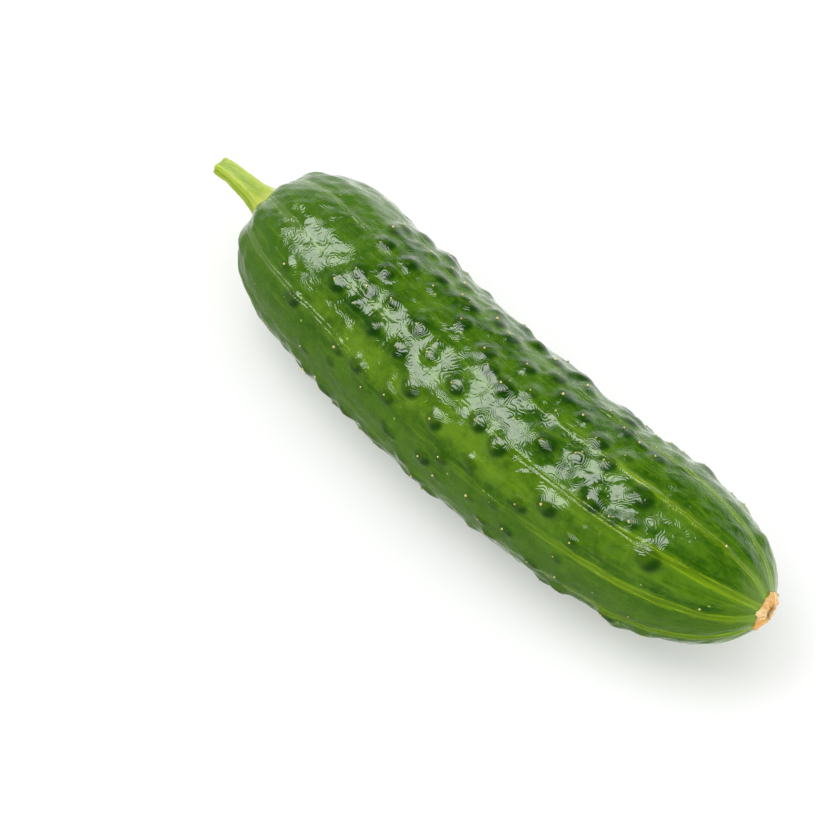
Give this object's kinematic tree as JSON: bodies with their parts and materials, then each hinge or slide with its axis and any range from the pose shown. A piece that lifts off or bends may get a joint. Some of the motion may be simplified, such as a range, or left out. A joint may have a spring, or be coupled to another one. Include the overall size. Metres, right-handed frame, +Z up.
{
  "type": "cucumber",
  "caption": "Whole short warty salad cucumber lying on its side, gently bent, with a cut stalk stub at one end and a dry flower scar at the other.",
  "frame": {"origin": "middle of the bounding box in X and Y, on the surface that the cucumber lies on (z = 0)", "axes": "+X along the fruit from the stalk to the blossom end, +Z up; the outside of the bend faces -Y"},
  "size_m": [0.1782, 0.0444, 0.0417],
  "materials": {
    "skin": "glossy waxy dark green skin with warts, pale cream wart tips and yellow-green streaks at the blossom end; gloss plastic stands in for waxy plant skin",
    "stalk": "satin light yellow-green ridged stalk; matte plastic stands in for soft plant fibre",
    "dried_flower": "dry corky tan scar tissue; wood stands in for dried plant matter"
  },
  "bodies": {
    "root": {"fruit": "skin", "stem": "stalk", "blossom_scar": "dried_flower"}
  },
  "joints": []
}
